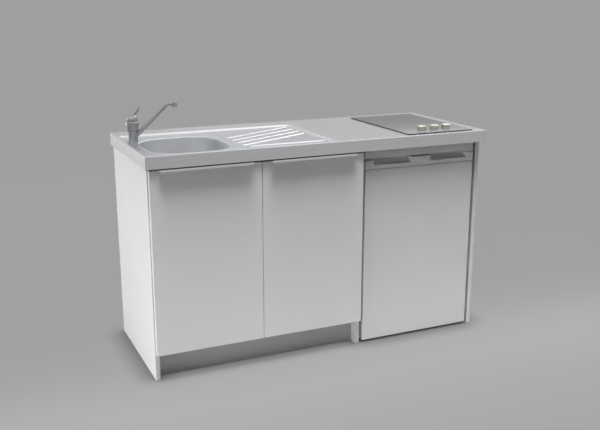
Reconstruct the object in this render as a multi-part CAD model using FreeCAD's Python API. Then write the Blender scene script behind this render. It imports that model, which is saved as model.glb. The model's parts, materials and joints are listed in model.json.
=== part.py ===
import FreeCAD, Part
import math
import os

# Compact kitchen base unit: sink cabinet, built-under fridge, steel worktop, tap and hob.
# Millimetres. +Z up, the doors face -Y, the floor is Z = 0, the origin is the middle of the footprint.

# Worktop
worktop_length = 1500.0
worktop_depth = 600.0
worktop_top = 900.0
worktop_thickness = 50.0
sheet = 1.0
fold_radius = 3.0

# Sink recess pressed into the steel top
recess_length = 779.0
recess_drop = 6.0
recess_rim = 8.0
recess_front_rim = 10.0
recess_back_rim = 105.0
recess_slope = 8.0
recess_right_slope = 12.0
recess_back_slope = 12.0
recess_corner = 18.0
recess_corner_growth = 7.0

# Bowl
bowl_length = 326.0
bowl_width = 348.0
bowl_depth = 150.0
bowl_corner = 115.0
bowl_floor_radius = 40.0
bowl_mouth_radius = 5.0
bowl_from_left = 51.0
bowl_from_front = 52.0
weld_margin = 8.0

# Drainer ridges
ridge_height = 3.5
ridge_half_width = 9.0
ridge_count = 4
ridge_pitch = 62.0
ridge_run = 329.0
ridge_rise = 165.0
ridge_from_left = 424.0
ridge_from_front = 114.0
front_ridge_from_front = 80.0
border_ridge_height = 1.5
border_ridge_half_width = 5.0
border_ridge_from_left = 402.0
border_ridge_lean = 30.0
border_ridge_start = 72.0
border_ridge_length = 380.0

# Waste and trap
waste_hole_radius = 45.0
waste_flange_radius = 55.0
waste_flange = 1.5
waste_wall = 2.5
waste_cup_depth = 48.0
spigot_radius = 20.0
spigot_wall = 4.0
spigot_length = 45.0
strainer_sheet = 1.5
strainer_spigot_depth = 9.0
strainer_hole_radius = 2.5
strainer_rings = (15.0, 23.0, 31.0)
strainer_ring_counts = (8, 12, 16)
strainer_knob_radius = 6.0
strainer_knob_height = 10.0
trap_nut_radius = 27.0
trap_nut_height = 26.0
trap_bottle_radius = 31.0
trap_bottle_height = 78.0
trap_neck = 24.0
trap_wall = 3.0
trap_cup_radius = 35.0
trap_cup_height = 46.0
trap_cup_overlap = 16.0
outlet_radius = 20.0
outlet_wall = 2.0
outlet_stop = 4.0
outlet_drop = 26.0
outlet_end_gap = 12.0
outlet_hole_clearance = 4.0

# Tap
tap_from_left = 41.0
tap_from_front = 350.0
tap_turn = 25.0
tap_base_radius = 20.0
tap_base_height = 18.0
tap_column_radius = 15.0
tap_collar_radius = 21.0
tap_collar_height = 28.0
tap_body_radius = 27.0
tap_body_height = 40.0
tap_body_chamfer = 6.0
tap_body_shoulder = 3.0
tap_body_taper = 2.5
tap_body_barrel = 14.0
tap_shank_radius = 12.0
tap_nut_radius = 18.0
tap_nut_height = 10.0
tap_nut_pocket = 32.0
tap_tail_radius = 5.0
tap_tail_spread = 12.0
tap_tail_drop = 40.0
tap_tail_bend = 30.0
tap_tail_bend_angle = 53.0
tap_tail_length = 200.0
spout_radius = 8.0
aerator_wall = 1.5
spout_rise = 45.0
spout_reach = 171.0
spout_bend_height = 138.0
spout_bend_radius = 26.0
aerator_radius = 10.5
aerator_height = 12.0
aerator_insert = 6.0
aerator_proud = 1.0
nozzle_edge = 3.0
cartridge_radius = 17.5
cartridge_height = 30.0
cap_radius = 23.5
cap_wall = 2.2
cap_skirt = 5.0
cap_body_gap = 2.0
lever_tilt_room = 22.0
lever_pin_radius = 2.0
lever_width = 14.0
lever_thickness = 7.5
lever_reach = 33.0
lever_top = 49.0
lever_root = 13.7
lever_root_back = 2.0
lever_root_width = 36.0
lever_root_length = 33.0
lever_edge = 1.5

# Hob
hob_length = 320.0
hob_glass = 4.5
hob_glass_bevel = 1.2
hob_from_right = 56.0
hob_from_front = 20.0
hob_from_back = 60.0
hob_lap = 10.0
hob_cutout_gap = 2.0
hob_tray_sheet = 1.0
hob_tray_depth = 43.0
front_heater_radius = 72.0
front_heater_from_front = 205.0
heater_gap = 18.0
heater_from_back = 45.0
heater_wall = 8.0
heater_floor = 10.0
heater_glass_gap = 0.3
knob_count = 3
knob_radius = 20.0
knob_height = 17.0
knob_pitch = 61.0
knob_row_offset = 14.0
knob_from_front = 79.0
knob_edge = 4.0
knob_groove_width = 2.0
knob_groove_depth = 0.8
spindle_radius = 3.0
switch_size = 40.0
switch_height = 26.0

# Carcass boards
board = 18.0
end_overhang = 10.0
panel_setback = 29.0
panel_back_setback = 12.0
sink_cabinet_width = 900.0
plinth_height = 108.0
plinth_setback = 38.0
plinth_board = 16.0
back_board = 8.0
front_rail_height = 60.0
rear_rail_height = 80.0
niche_rail_height = 39.0
board_edge = 0.8
dowel_radius = 4.0
dowel_length = 30.0
dowel_in_panel = 11.0
rear_dowel_drop = 60.0
niche_dowel_drop = 25.0
floor_dowel_inset = 54.0
wall_hole_radius = 4.0
wall_hole_from_end = 70.0
wall_hole_below_top = 18.0
bracket_leg = 24.0
bracket_width = 30.0
bracket_sheet = 2.0
screw_radius = 2.0
screw_length = 14.0
screw_head_radius = 4.0
screw_head = 1.8

# Doors
door_board = 18.0
door_gap = 3.5
door_reveal = 3.5
door_middle_gap = 2.0
door_foot_gap = 2.0
door_edge = 1.2
handle_from_door_side = 38.5
handle_sheet = 2.0
handle_lip = 10.0
handle_proud = 10.0
handle_back_leg = 24.0
handle_top_gap = 4.5
handle_return = 3.5
handle_nose = 3.0

# Door hinges
hinge_from_door_end = 90.0
cup_radius = 17.5
cup_wall = 1.0
cup_depth = 12.0
cup_edge = 3.0
cup_flange = 1.0
cup_flange_half = 26.0
pivot_inset = 7.4
pivot_depth = 8.5
pin_radius = 1.5
knuckle_radius = 2.3
arm_sheet = 2.5
arm_half_width = 3.5
arm_standoff = 4.0
arm_body_half_width = 7.0
arm_body_height = 9.0
arm_body_start = 12.0
arm_body_length = 52.0
hinge_plate_half = 20.0

# Fridge
fridge_side_gap = 14.0
fridge_top_gap = 4.0
fridge_back_gap = 25.0
fridge_foot = 22.0
fridge_door_thickness = 40.0
fridge_door_setback = 25.0
fridge_door_bottom = 12.0
fridge_door_top_gap = 1.0
fridge_sheet = 1.0
fridge_wall = 36.0
liner = 2.0
machine_height = 168.0
machine_depth = 140.0
gasket_thickness = 9.7
gasket_body_gap = 0.3
gasket_inset = 18.0
gasket_width = 12.0
cap_height = 44.0
cap_groove_rise = 2.0
cap_groove_height = 3.0
cap_groove_depth = 7.0
door_skin = 1.2
door_end_cap = 20.0
door_skin_edge = 4.0
grip_from_centre = 48.0
grip_from_side = 38.0
grip_height = 23.0
grip_depth = 25.0
grip_lip = 6.0
grip_undercut = 15.0
hinge_from_side = 14.0
hinge_from_front = 20.0
hinge_pin_radius = 4.0
hinge_pin_length = 18.0
hinge_plate = 3.0
hinge_plate_width = 44.0
hinge_plate_tail = 50.0
hinge_foot_gap = 1.0
shelf_glass = 4.0
shelf_count = 3
shelf_ledge = 8.0
shelf_front = 100.0
shelf_back_gap = 4.0
crisper_wall = 2.5
crisper_height = 150.0
crisper_side_gap = 10.0
crisper_back_gap = 10.0
dyke_width = 12.0
dyke_depth = 65.0
dyke_inset = 14.0
dyke_end = 15.0
bin_rise = 15.0
bin_heights = (120.0, 75.0, 75.0)
bin_depth = 80.0
bin_wall = 2.5
thermostat_length = 130.0
thermostat_height = 50.0
thermostat_depth = 30.0
thermostat_from_top = 60.0
dial_radius = 15.0
dial_height = 10.0
dial_pointer = 4.0
compressor_radius = 60.0
compressor_height = 116.0
compressor_shoulder = 34.0
compressor_foot = 12.0
compressor_foot_radius = 10.0
compressor_plate_half = 84.0
compressor_foot_spread = 62.0
compressor_plate = 3.0
coil_radius = 2.5
coil_pass_count = 10
coil_inset = 30.0
coil_from_top = 57.0
coil_above_machine = 60.0
coil_standoff = 12.0
coil_plate = 1.0
coil_margin = 16.0
coil_clip_width = 14.0
foot_pad_radius = 16.0
foot_pad = 8.0
foot_stem_radius = 5.0
foot_inset = 56.0
foot_front_inset = 40.0
foot_back_inset = 30.0
fixing_width = 40.0
fixing_from_side = 87.0
fixing_rise = 28.0
fixing_seat = 70.0

# Clearances
running = 0.05
drill = 0.05
side_play = 0.3
over = 1.0

# Places that follow from the sizes
left_end = -worktop_length / 2
right_end = worktop_length / 2
front_edge = -(worktop_depth + handle_proud) / 2 + handle_proud
back_edge = front_edge + worktop_depth
underside = worktop_top - worktop_thickness
recess_floor = worktop_top - recess_drop

cabinet_left = left_end + end_overhang
cabinet_right = cabinet_left + sink_cabinet_width
inside_left = cabinet_left + board
inside_right = cabinet_right - board
end_right = right_end - end_overhang
niche_right = end_right - board
panel_front = front_edge + panel_setback
panel_back = back_edge - panel_back_setback
back_face = panel_back - board - back_board
cabinet_floor_top = plinth_height + board

door_back = panel_front - door_gap
door_front = door_back - door_board
door_bottom = plinth_height + door_foot_gap
handle_top = underside - handle_top_gap
door_top = handle_top - handle_sheet

fridge_centre = (cabinet_right + niche_right) / 2
fridge_left = cabinet_right + fridge_side_gap
fridge_right = niche_right - fridge_side_gap
fridge_height = underside - niche_rail_height - fridge_top_gap
fridge_door_front = front_edge + fridge_door_setback
fridge_door_back = fridge_door_front + fridge_door_thickness
fridge_front = fridge_door_back + gasket_thickness + gasket_body_gap
fridge_back = panel_back - board - fridge_back_gap
fridge_door_top = fridge_height - fridge_door_top_gap
fridge_hinge_x = fridge_right - hinge_from_side
fridge_hinge_y = fridge_door_front + hinge_from_front

tap_x = left_end + tap_from_left
tap_y = front_edge + tap_from_front


def V(x, y, z):
    return FreeCAD.Vector(x, y, z)


def box(x0, x1, y0, y1, z0, z1):
    return Part.makeBox(x1 - x0, y1 - y0, z1 - z0, V(x0, y0, z0))


def cylinder(radius, height, base, direction):
    return Part.makeCylinder(radius, height, base, direction)


UP = V(0, 0, 1)
DOWN = V(0, 0, -1)
RIGHT = V(1, 0, 0)
LEFT = V(-1, 0, 0)
BACK = V(0, 1, 0)


def fuse(shapes):
    return shapes[0].multiFuse(shapes[1:]).removeSplitter()


def cut(shape, tools):
    return shape.cut(Part.makeCompound(tools))


def save(name, *solids):
    shape = solids[0] if len(solids) == 1 else Part.makeCompound(list(solids))
    shape.exportStep("parts/" + name + ".step")


def soften(shape, radius, chosen):
    edges = [edge for edge in shape.Edges if chosen(edge.BoundBox)]
    return shape.makeFillet(radius, edges)


def soft_box(x0, x1, y0, y1, z0, z1, radius):
    return soften(box(x0, x1, y0, y1, z0, z1), radius, lambda bounds: True)


def round_outline(x0, x1, y0, y1, radius, z):
    """A rectangle with round corners, as a closed wire."""
    diagonal = radius * (1 - math.sqrt(0.5))
    corners = [
        (V(x1 - radius, y0, z), V(x1 - diagonal, y0 + diagonal, z), V(x1, y0 + radius, z)),
        (V(x1, y1 - radius, z), V(x1 - diagonal, y1 - diagonal, z), V(x1 - radius, y1, z)),
        (V(x0 + radius, y1, z), V(x0 + diagonal, y1 - diagonal, z), V(x0, y1 - radius, z)),
        (V(x0, y0 + radius, z), V(x0 + diagonal, y0 + diagonal, z), V(x0 + radius, y0, z)),
    ]
    edges = []
    for index, (start, middle, end) in enumerate(corners):
        edges.append(Part.Arc(start, middle, end).toShape())
        edges.append(Part.LineSegment(end, corners[(index + 1) % 4][0]).toShape())
    return Part.Wire(edges)


def round_prism(x0, x1, y0, y1, radius, z0, z1):
    return Part.Face(round_outline(x0, x1, y0, y1, radius, z0)).extrude(V(0, 0, z1 - z0))


def turned(points, x, y):
    """A solid of revolution about the upright axis through x, y; points are radius and height."""
    outline = [V(radius, 0, z) for radius, z in points]
    face = Part.Face(Part.makePolygon(outline + outline[:1]))
    solid = face.revolve(V(0, 0, 0), UP, 360)
    solid.translate(V(x, y, 0))
    return solid


def tube(path_edges, radius):
    """A round bar along straight runs and tangent arcs."""
    path = Part.Wire(path_edges)
    start = path_edges[0].Vertexes[0].Point
    direction = path_edges[0].Vertexes[1].Point - start
    ring = Part.Wire([Part.makeCircle(radius, start, direction)])
    return path.makePipeShell([ring], True, False)


# Steel top, bowl and core board

def recess_outline(level, grow):
    """The recess at its floor (level 0), the top (level 1) or above it (level 2), grown by the sheet."""
    x0 = left_end + recess_rim + recess_slope * (1 - level) - grow
    x1 = left_end + recess_rim + recess_length - recess_right_slope * (1 - level) + grow
    y0 = front_edge + recess_front_rim + recess_slope * (1 - level) - grow
    y1 = back_edge - recess_back_rim - recess_back_slope * (1 - level) + grow
    radius = recess_corner + recess_corner_growth * level + grow
    return round_outline(x0, x1, y0, y1, radius, recess_floor + recess_drop * level - grow)


bowl_x0 = left_end + bowl_from_left
bowl_x1 = bowl_x0 + bowl_length
bowl_y0 = front_edge + bowl_from_front
bowl_y1 = bowl_y0 + bowl_width
bowl_x = (bowl_x0 + bowl_x1) / 2
bowl_y = (bowl_y0 + bowl_y1) / 2
bowl_floor = recess_floor - bowl_depth


def bowl_prism(grow, z0, z1):
    return round_prism(bowl_x0 - grow, bowl_x1 + grow, bowl_y0 - grow, bowl_y1 + grow, bowl_corner + grow,
                       z0, z1)


def sink_space(grow):
    """The room over the pressed sheet; grown by the sheet's thickness it is the sheet's underside."""
    recess = Part.makeLoft([recess_outline(0, grow), recess_outline(2, grow)], True, True)
    floor = recess_floor - grow
    space = recess.fuse(bowl_prism(grow, bowl_floor - grow, floor + recess_drop / 2)).removeSplitter()

    def at_bowl(bounds, z):
        flat = abs(bounds.ZMin - z) < 0.01 and abs(bounds.ZMax - z) < 0.01
        inside = bounds.XMin > bowl_x0 - grow - over and bounds.XMax < bowl_x1 + grow + over
        return flat and inside and bounds.YMin > bowl_y0 - grow - over and bounds.YMax < bowl_y1 + grow + over

    space = soften(space, bowl_mouth_radius - grow, lambda bounds: at_bowl(bounds, floor))
    return soften(space, bowl_floor_radius + grow, lambda bounds: at_bowl(bounds, bowl_floor - grow))


def ridge(start, end, height, half_width):
    """A bead with round ends, standing on the recess floor and rooted in the sheet."""
    radius = (half_width ** 2 + height ** 2) / (2 * height)
    start = start + V(0, 0, recess_floor + height - radius)
    end = end + V(0, 0, recess_floor + height - radius)
    bar = cylinder(radius, (end - start).Length, start, end - start)
    bead = fuse([bar, Part.makeSphere(radius, start), Part.makeSphere(radius, end)])
    reach = radius + over
    slab = box(min(start.x, end.x) - reach, max(start.x, end.x) + reach, min(start.y, end.y) - reach,
               max(start.y, end.y) + reach, recess_floor - sheet / 2, recess_floor + height + over)
    return bead.common(slab)


def drainer_ridges():
    ridges = []
    first = V(left_end + ridge_from_left, front_edge + ridge_from_front, 0)
    for index in range(ridge_count):
        start = first + V(0, index * ridge_pitch, 0)
        ridges.append(ridge(start, start + V(ridge_run, ridge_rise, 0), ridge_height, ridge_half_width))
    front = V(left_end + ridge_from_left + 2 * ridge_half_width, front_edge + front_ridge_from_front, 0)
    front_run = V(ridge_run - 2 * ridge_half_width, 0, 0)
    ridges.append(ridge(front, front + front_run, ridge_height, ridge_half_width))
    low = V(left_end + border_ridge_from_left - border_ridge_lean / 2, front_edge + border_ridge_start, 0)
    border_run = V(border_ridge_lean, border_ridge_length, 0)
    ridges.append(ridge(low, low + border_run, border_ridge_height, border_ridge_half_width))
    return ridges


hob_x1 = right_end - hob_from_right
hob_x0 = hob_x1 - hob_length
hob_y0 = front_edge + hob_from_front
hob_y1 = back_edge - hob_from_back
hob_top = worktop_top + hob_glass
hob_cutout = box(hob_x0 + hob_lap, hob_x1 - hob_lap, hob_y0 + hob_lap, hob_y1 - hob_lap,
                 underside - over, worktop_top + over)

tap_hole = cylinder(tap_shank_radius + drill, worktop_thickness + over, V(tap_x, tap_y, underside), UP)
tap_pocket = cylinder(tap_nut_radius + 2 * over, tap_nut_pocket, V(tap_x, tap_y, underside), UP)


def folded_block(inset):
    block = box(left_end + inset, right_end - inset, front_edge + inset, back_edge - inset,
                underside, worktop_top - inset)
    return soften(block, fold_radius - inset, lambda bounds: bounds.ZMax > underside + over)


top_space = sink_space(0)
under_space = sink_space(sheet)
core_block = folded_block(sheet)
below_top = box(left_end, right_end, front_edge, back_edge, bowl_floor - 2 * sheet, worktop_top)
pressed = under_space.common(below_top).cut(top_space)
weld = bowl_prism(weld_margin, bowl_floor - 2 * sheet, worktop_top)
waste_hole = cylinder(waste_hole_radius, 4 * sheet, V(bowl_x, bowl_y, bowl_floor - 2 * sheet), UP)

skin = cut(folded_block(0), [core_block, under_space])
steel_top = fuse([skin, pressed.cut(weld)] + drainer_ridges())
steel_top = cut(steel_top, [hob_cutout, tap_hole])
save("steel_top", steel_top)
save("sink_bowl", pressed.common(weld).cut(waste_hole))

core = cut(core_block, [under_space, bowl_prism(weld_margin, underside - over, worktop_top), hob_cutout,
                        tap_hole, tap_pocket])

# Waste, strainer and bottle trap

cup_bottom = bowl_floor - waste_cup_depth
spigot_end = cup_bottom - spigot_length
cup_outer = waste_hole_radius - side_play
cup_inner = cup_outer - waste_wall
spigot_bore = spigot_radius - spigot_wall
flange_top = bowl_floor + waste_flange
waste_body = turned([
    (spigot_bore, spigot_end), (spigot_radius, spigot_end), (spigot_radius, cup_bottom),
    (cup_outer, cup_bottom), (cup_outer, bowl_floor), (waste_flange_radius, bowl_floor),
    (waste_flange_radius, flange_top), (cup_inner, flange_top), (cup_inner, cup_bottom + waste_wall),
    (spigot_bore, cup_bottom + waste_wall)], bowl_x, bowl_y)
save("waste_body", waste_body)

strainer_rim = (cup_inner + waste_flange_radius) / 2
strainer_top = flange_top + strainer_sheet
strainer_spigot = cup_inner - side_play
spigot_foot = flange_top - strainer_spigot_depth
strainer = turned([
    (strainer_spigot - waste_wall, spigot_foot), (strainer_spigot, spigot_foot),
    (strainer_spigot, flange_top), (strainer_rim, flange_top),
    (strainer_rim, strainer_top), (strainer_knob_radius, strainer_top),
    (strainer_knob_radius, strainer_top + strainer_knob_height), (0, strainer_top + strainer_knob_height),
    (0, flange_top), (strainer_spigot - waste_wall, flange_top)], bowl_x, bowl_y)
strainer_holes = []
for ring, count in zip(strainer_rings, strainer_ring_counts):
    for index in range(count):
        angle = 2 * math.pi * index / count
        place = V(bowl_x + ring * math.cos(angle), bowl_y + ring * math.sin(angle), flange_top - over)
        strainer_holes.append(cylinder(strainer_hole_radius, strainer_sheet + 2 * over, place, UP))
save("sink_strainer", cut(strainer, strainer_holes))

nut_top = spigot_end + trap_nut_height
bottle_top = spigot_end - trap_neck + trap_wall
bottle_bottom = bottle_top - trap_bottle_height
outlet_z = bottle_top - outlet_drop
bottle_inner = trap_bottle_radius - trap_wall
dip_end = bottle_top - trap_bottle_height / 2
trap_body = turned([
    (spigot_bore, dip_end), (spigot_radius, dip_end), (spigot_radius, bottle_top - trap_wall),
    (bottle_inner, bottle_top - trap_wall), (bottle_inner, bottle_bottom),
    (trap_bottle_radius, bottle_bottom), (trap_bottle_radius, bottle_top),
    (spigot_radius + trap_wall, bottle_top),
    (spigot_radius + trap_wall, spigot_end - trap_wall), (trap_nut_radius, spigot_end - trap_wall),
    (trap_nut_radius, nut_top), (spigot_radius + drill, nut_top), (spigot_radius + drill, spigot_end),
    (spigot_bore, spigot_end)], bowl_x, bowl_y)
outlet_start = bowl_y + spigot_radius + over
outlet_end = back_edge - outlet_end_gap
socket_end = bowl_y + trap_bottle_radius + trap_neck
socket = cylinder(outlet_radius + trap_wall, socket_end - outlet_start, V(bowl_x, outlet_start, outlet_z),
                  BACK)
bottle_room = cylinder(bottle_inner, trap_bottle_height, V(bowl_x, bowl_y, bottle_bottom - trap_wall), UP)
outlet_seat = cylinder(outlet_radius + drill, trap_neck + over,
                       V(bowl_x, bowl_y + trap_bottle_radius, outlet_z), BACK)
outlet_bore = cylinder(outlet_radius - outlet_wall, trap_bottle_radius + trap_neck,
                       V(bowl_x, bowl_y + spigot_radius + over, outlet_z), BACK)
trap_body = cut(fuse([trap_body, socket.cut(bottle_room)]), [outlet_seat, outlet_bore])
save("trap_body", trap_body)

trap_cup_top = bottle_bottom + trap_cup_overlap
trap_cup_bottom = trap_cup_top - trap_cup_height
trap_cup = turned([
    (0, trap_cup_bottom), (trap_cup_radius, trap_cup_bottom), (trap_cup_radius, trap_cup_top),
    (trap_bottle_radius + drill, trap_cup_top), (trap_bottle_radius + drill, bottle_bottom),
    (bottle_inner, bottle_bottom), (bottle_inner, trap_cup_bottom + trap_wall),
    (0, trap_cup_bottom + trap_wall)], bowl_x, bowl_y)
save("trap_cup", trap_cup)

outlet_pipe_start = bowl_y + trap_bottle_radius
outlet_length = outlet_end - outlet_pipe_start
outlet_mouth = V(bowl_x, outlet_pipe_start, outlet_z)
outlet_pipe = cylinder(outlet_radius, outlet_length, outlet_mouth, BACK)
stop_ring = cylinder(outlet_radius + trap_wall, outlet_stop, V(bowl_x, socket_end, outlet_z), BACK)
pipe_bore = cylinder(outlet_radius - outlet_wall, outlet_length, outlet_mouth, BACK)
save("trap_outlet", cut(fuse([outlet_pipe, stop_ring]), [pipe_bore]))

# Carcass

panels = {
    "left_side_panel": soft_box(cabinet_left, inside_left, panel_front, panel_back, 0, underside, board_edge),
    "divider_panel": soft_box(inside_right, cabinet_right, panel_front, panel_back, 0, underside, board_edge),
    "end_panel": soft_box(niche_right, end_right, panel_front, panel_back, 0, underside, board_edge),
}
rail_back = panel_front + board
niche_rail_back = rail_back + board
niche_rail_bottom = underside - niche_rail_height
rear_rail_front = panel_back - board
boards = {
    "cabinet_floor": box(inside_left, inside_right, panel_front, back_face, plinth_height, cabinet_floor_top),
    "front_rail": box(inside_left, inside_right, panel_front, rail_back, underside - front_rail_height,
                      underside),
    "rear_rail": box(inside_left, inside_right, rear_rail_front, panel_back, underside - rear_rail_height,
                     underside),
    "niche_front_rail": fuse([
        box(fridge_left, fridge_right, panel_front, niche_rail_back, niche_rail_bottom, underside),
        box(cabinet_right, niche_right, rail_back, niche_rail_back, niche_rail_bottom, underside)]),
    "niche_rear_rail": box(cabinet_right, niche_right, rear_rail_front, panel_back, niche_rail_bottom,
                           underside),
}
outlet_opening = cylinder(outlet_radius + outlet_hole_clearance, back_board + board + 2 * over,
                          V(bowl_x, back_face - over, outlet_z), BACK)
wall_holes = []
for side in (-1, 1):
    wall_holes.append(cylinder(wall_hole_radius, back_board + board + 2 * over,
                               V(side * (right_end - wall_hole_from_end), back_face - over,
                                 underside - wall_hole_below_top), BACK))
cabinet_back = box(inside_left, inside_right, back_face, rear_rail_front, plinth_height, underside)
cabinet_back = cut(cabinet_back, [outlet_opening] + wall_holes)
plinth_front = panel_front + plinth_setback
plinth = box(inside_left, inside_right, plinth_front, plinth_front + plinth_board, 0, plinth_height)

# Dowels join each board's ends to the panels beside it.
dowels = []


def dowel_line(name, left_panel, right_panel, y, z):
    bounds = boards[name].BoundBox
    for panel, face, direction in ((left_panel, bounds.XMin, 1), (right_panel, bounds.XMax, -1)):
        start = V(face - direction * dowel_in_panel, y, z)
        dowels.append(cylinder(dowel_radius, dowel_length, start, V(direction, 0, 0)))
        hole = cylinder(dowel_radius + drill, dowel_length, start, V(direction, 0, 0))
        boards[name] = boards[name].cut(hole)
        panels[panel] = panels[panel].cut(hole)


floor_mid = plinth_height + board / 2
dowel_line("cabinet_floor", "left_side_panel", "divider_panel", panel_front + floor_dowel_inset, floor_mid)
dowel_line("cabinet_floor", "left_side_panel", "divider_panel", back_face - floor_dowel_inset, floor_mid)
dowel_line("front_rail", "left_side_panel", "divider_panel", panel_front + board / 2,
           underside - front_rail_height / 2)
dowel_line("rear_rail", "left_side_panel", "divider_panel", panel_back - board / 2,
           underside - rear_dowel_drop)
niche_dowel_z = underside - niche_dowel_drop
dowel_line("niche_front_rail", "divider_panel", "end_panel", rail_back + board / 2, niche_dowel_z)
dowel_line("niche_rear_rail", "divider_panel", "end_panel", panel_back - board / 2, niche_dowel_z)
boards["rear_rail"] = cut(boards["rear_rail"], wall_holes)
boards["niche_rear_rail"] = cut(boards["niche_rear_rail"], wall_holes)

# Angle brackets tie the worktop to the panels, and the fridge to the rail in front of it.
brackets = []
screws = []


def screw(head_place, direction):
    """Returns a pan-head screw and the hole its shank needs."""
    back = V(-direction.x, -direction.y, -direction.z)
    shank = cylinder(screw_radius, screw_length, head_place, direction)
    head = cylinder(screw_head_radius, screw_head, head_place, back)
    hole = cylinder(screw_radius + drill, screw_length + drill, head_place, direction)
    return fuse([shank, head]), hole


def worktop_bracket(panel, face, side, y):
    """A bracket against a panel face; side is +1 where it reaches towards +X."""
    global core
    y0 = y - bracket_width / 2
    y1 = y + bracket_width / 2
    far = face + side * bracket_leg
    inner = face + side * bracket_sheet
    upright = box(min(face, inner), max(face, inner), y0, y1, underside - bracket_leg, underside)
    flat = box(min(face, far), max(face, far), y0, y1, underside - bracket_sheet, underside)
    middle = (bracket_leg + bracket_sheet) / 2
    bracket = fuse([upright, flat])
    up_screw, up_hole = screw(V(face + side * middle, y, underside - bracket_sheet), UP)
    side_screw, side_hole = screw(V(inner, y, underside - middle), V(-side, 0, 0))
    core = core.cut(up_hole)
    panels[panel] = panels[panel].cut(side_hole)
    brackets.append(cut(bracket, [up_hole, side_hole]))
    screws.extend([up_screw, side_screw])


rear_bracket_y = rear_rail_front - 4 * bracket_leg
front_bracket_y = rail_back + 2 * bracket_leg
worktop_bracket("left_side_panel", inside_left, 1, rear_bracket_y)
worktop_bracket("divider_panel", inside_right, -1, rear_bracket_y)
worktop_bracket("divider_panel", inside_right, -1, front_bracket_y)
worktop_bracket("divider_panel", cabinet_right, 1, rear_bracket_y)
worktop_bracket("divider_panel", cabinet_right, 1, front_bracket_y)
worktop_bracket("end_panel", niche_right, -1, rear_bracket_y)
worktop_bracket("end_panel", niche_right, -1, front_bracket_y)

for x0 in (fridge_left + fixing_from_side, fridge_right - fixing_from_side - fixing_width):
    x1 = x0 + fixing_width
    middle = x0 + fixing_width / 2
    upright_back = niche_rail_back + bracket_sheet
    seat = box(x0, x1, niche_rail_back, niche_rail_back + fixing_seat, fridge_height,
               fridge_height + bracket_sheet)
    upright = box(x0, x1, niche_rail_back, upright_back, fridge_height, fridge_height + fixing_rise)
    fixing_z = fridge_height + fixing_rise - 2 * screw_head_radius
    rail_screw, rail_hole = screw(V(middle, upright_back, fixing_z), V(0, -1, 0))
    boards["niche_front_rail"] = boards["niche_front_rail"].cut(rail_hole)
    brackets.append(fuse([seat, upright]).cut(rail_hole))
    screws.append(rail_screw)

save("worktop_core", core)
rear_rails = [boards.pop("rear_rail"), boards.pop("niche_rear_rail")]
save("rear_rails", *rear_rails)
for name, shape in {**panels, **boards}.items():
    save(name, shape)
save("cabinet_back", cabinet_back)
save("plinth", plinth)
save("dowels", *dowels)
save("fixing_brackets", *brackets)
save("bracket_screws", *screws)

# Doors, handles and hinges. Each door is described from its hinge edge, and side is the way it reaches.

hinge_heights = (door_bottom + hinge_from_door_end, door_top - hinge_from_door_end)
cabinet_middle = (cabinet_left + cabinet_right) / 2


def across(x0, x1, y0, y1, z0, z1, edge, side):
    """A box whose X runs from the hinge edge of a door, towards side."""
    a = edge + side * x0
    b = edge + side * x1
    return box(min(a, b), max(a, b), y0, y1, z0, z1)


def hinge_cup(edge, side, z):
    """A drawn cup with its flange and the pin that crosses it."""
    centre = V(edge + side * (cup_edge + cup_radius), door_back, z)
    toward_front = V(0, -1, 0)
    body = cylinder(cup_radius, cup_depth, centre, toward_front)
    flange_start = cup_edge + over
    flange = across(flange_start, flange_start + 2 * cup_radius, door_back, door_back + cup_flange,
                    z - cup_flange_half, z + cup_flange_half, edge, side)
    room = cylinder(cup_radius - cup_wall, cup_depth - cup_wall + cup_flange,
                    centre + V(0, cup_flange, 0), toward_front)
    pin_offset = cup_edge + cup_radius - pivot_inset
    half = math.sqrt(cup_radius ** 2 - (pin_offset + pin_radius) ** 2)
    pin = cylinder(pin_radius, 2 * half, V(edge + side * pivot_inset, door_back - pivot_depth, z - half), UP)
    return fuse([fuse([body, flange]).cut(room), pin])


def hinge_arm(edge, side, z):
    """A cranked arm from the panel's inner face to the pin in the cup."""
    panel_face = board - door_reveal
    neck_start = panel_face + arm_standoff
    neck_end = neck_start + arm_sheet
    pivot_y = door_back - pivot_depth
    half = arm_sheet / 2
    reach = across(pivot_inset, neck_end, pivot_y - half, pivot_y + half, z - arm_half_width,
                   z + arm_half_width, edge, side)
    body_y0 = panel_front + arm_body_start
    body_y1 = body_y0 + arm_body_length
    neck = across(neck_start, neck_end, pivot_y - half, body_y0 + over, z - arm_half_width,
                  z + arm_half_width, edge, side)
    body = across(neck_start, panel_face + arm_body_height, body_y0, body_y1, z - arm_body_half_width,
                  z + arm_body_half_width, edge, side)
    plate = across(panel_face, neck_start, body_y0, body_y1, z - hinge_plate_half, z + hinge_plate_half,
                   edge, side)
    knuckle = cylinder(knuckle_radius, 2 * arm_half_width,
                       V(edge + side * pivot_inset, pivot_y, z - arm_half_width), UP)
    bore = cylinder(pin_radius + running, 2 * arm_half_width + 2 * over,
                    V(edge + side * pivot_inset, pivot_y, z - arm_half_width - over), UP)
    return fuse([reach, neck, body, plate, knuckle]).cut(bore)


def handle(x0, x1):
    """An edge pull: a leg behind the door, a flat over its top edge and a round-nosed lip in front of it."""
    lip_front = front_edge - handle_proud
    lip_bottom = handle_top - handle_lip
    leg_back = door_back + handle_sheet
    top = box(x0, x1, lip_front, leg_back, door_top, handle_top)
    lip = box(x0, x1, lip_front, lip_front + handle_sheet, lip_bottom, handle_top)
    curl = box(x0, x1, lip_front, lip_front + handle_return, lip_bottom, lip_bottom + handle_sheet)
    leg = box(x0, x1, door_back, leg_back, door_top - handle_back_leg, handle_top)
    profile = fuse([top, lip, curl, leg])
    at_nose = lip_front + handle_sheet / 2
    return soften(profile, handle_nose, lambda bounds: bounds.YMax < at_nose and bounds.XLength > handle_lip)


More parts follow.
